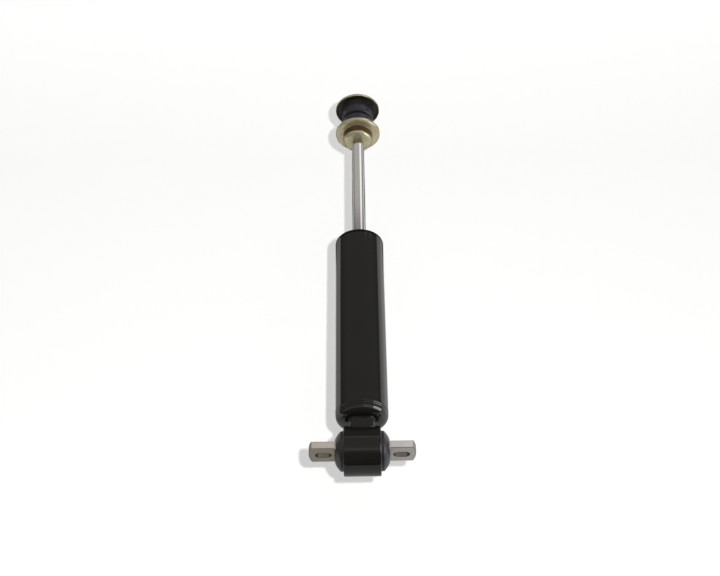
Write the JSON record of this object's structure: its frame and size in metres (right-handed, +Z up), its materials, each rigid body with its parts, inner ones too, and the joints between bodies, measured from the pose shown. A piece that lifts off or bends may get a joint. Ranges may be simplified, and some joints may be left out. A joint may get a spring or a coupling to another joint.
{
  "type": "shock absorber",
  "caption": "Twin-tube hydraulic shock absorber with a stem mount between two rubber bushes on top and a slotted bar pin in a rubber-bushed eye below.",
  "frame": {"origin": "centre of the lower eye, midway between the two slots of the bar pin", "axes": "+Z up the rod towards the stem, +X along the bar pin"},
  "size_m": [0.0874, 0.0446, 0.427],
  "materials": {
    "bare_steel": "satin, lightly oiled",
    "black_rubber": "matte",
    "black_paint": "gloss black",
    "honed_steel": "honed",
    "sintered_iron": "matte, steam treated",
    "spring_steel": "polished strip",
    "chrome_rod": "polished hard chrome",
    "band_plastic": "matte",
    "nylon": "matte",
    "bush_bronze": "satin",
    "seal_rubber": "satin",
    "yellow_zinc": "yellow zinc plate, satin"
  },
  "bodies": {
    "bar": {"bar_pin": "bare_steel", "eye_bush": "black_rubber"},
    "barrel": {"eye_ring": "black_paint", "base_cap": "black_paint", "reserve_tube": "black_paint", "pressure_tube": "honed_steel", "base_valve_body": "sintered_iron", "compression_disc_1": "spring_steel", "compression_disc_2": "spring_steel", "compression_disc_3": "spring_steel", "base_spring": "spring_steel", "valve_rivet": "honed_steel", "rod_guide": "sintered_iron", "guide_bush": "bush_bronze", "rod_seal": "seal_rubber", "seal_spring": "spring_steel", "guide_o_ring": "seal_rubber", "top_cap": "black_paint"},
    "band": {"piston_band": "band_plastic"},
    "rod": {"piston_rod": "chrome_rod", "piston": "sintered_iron", "rebound_disc_1": "spring_steel", "rebound_disc_2": "spring_steel", "rebound_disc_3": "spring_steel", "backing_washer": "honed_steel", "piston_nut": "honed_steel", "piston_spring": "spring_steel", "spring_plate": "honed_steel", "rebound_stop": "honed_steel", "rebound_bumper": "nylon", "lower_washer": "yellow_zinc", "lower_bush": "black_rubber", "upper_bush": "black_rubber", "upper_washer": "yellow_zinc", "top_nut": "yellow_zinc"},
    "base_check": {"base_intake_disc": "spring_steel"},
    "piston_check": {"piston_intake_disc": "spring_steel"}
  },
  "joints": [
    {"name": "eye_swivel", "type": "hinge", "parent": "bar", "child": "barrel", "pos_m": [0, 0, 0], "axis": [1, 0, 0], "range_deg": [-15, 15], "stiffness_Nm_per_rad": 60},
    {"name": "base_check_lift", "type": "slide", "parent": "barrel", "child": "base_check", "axis": [0, 0, 1], "range_m": [0, 0.0007], "stiffness_N_per_m": 400, "springref_m": -0.001},
    {"name": "rod_slide", "type": "slide", "parent": "barrel", "child": "band", "axis": [0, 0, 1], "range_m": [-0.104, 0], "stiffness_N_per_m": 300, "springref_m": 0.4},
    {"name": "rod_spin", "type": "hinge", "parent": "band", "child": "rod", "pos_m": [0, 0, 0], "axis": [0, 0, 1], "continuous": true},
    {"name": "piston_check_lift", "type": "slide", "parent": "rod", "child": "piston_check", "axis": [0, 0, 1], "range_m": [0, 0.0007], "stiffness_N_per_m": 400, "springref_m": -0.001}
  ]
}
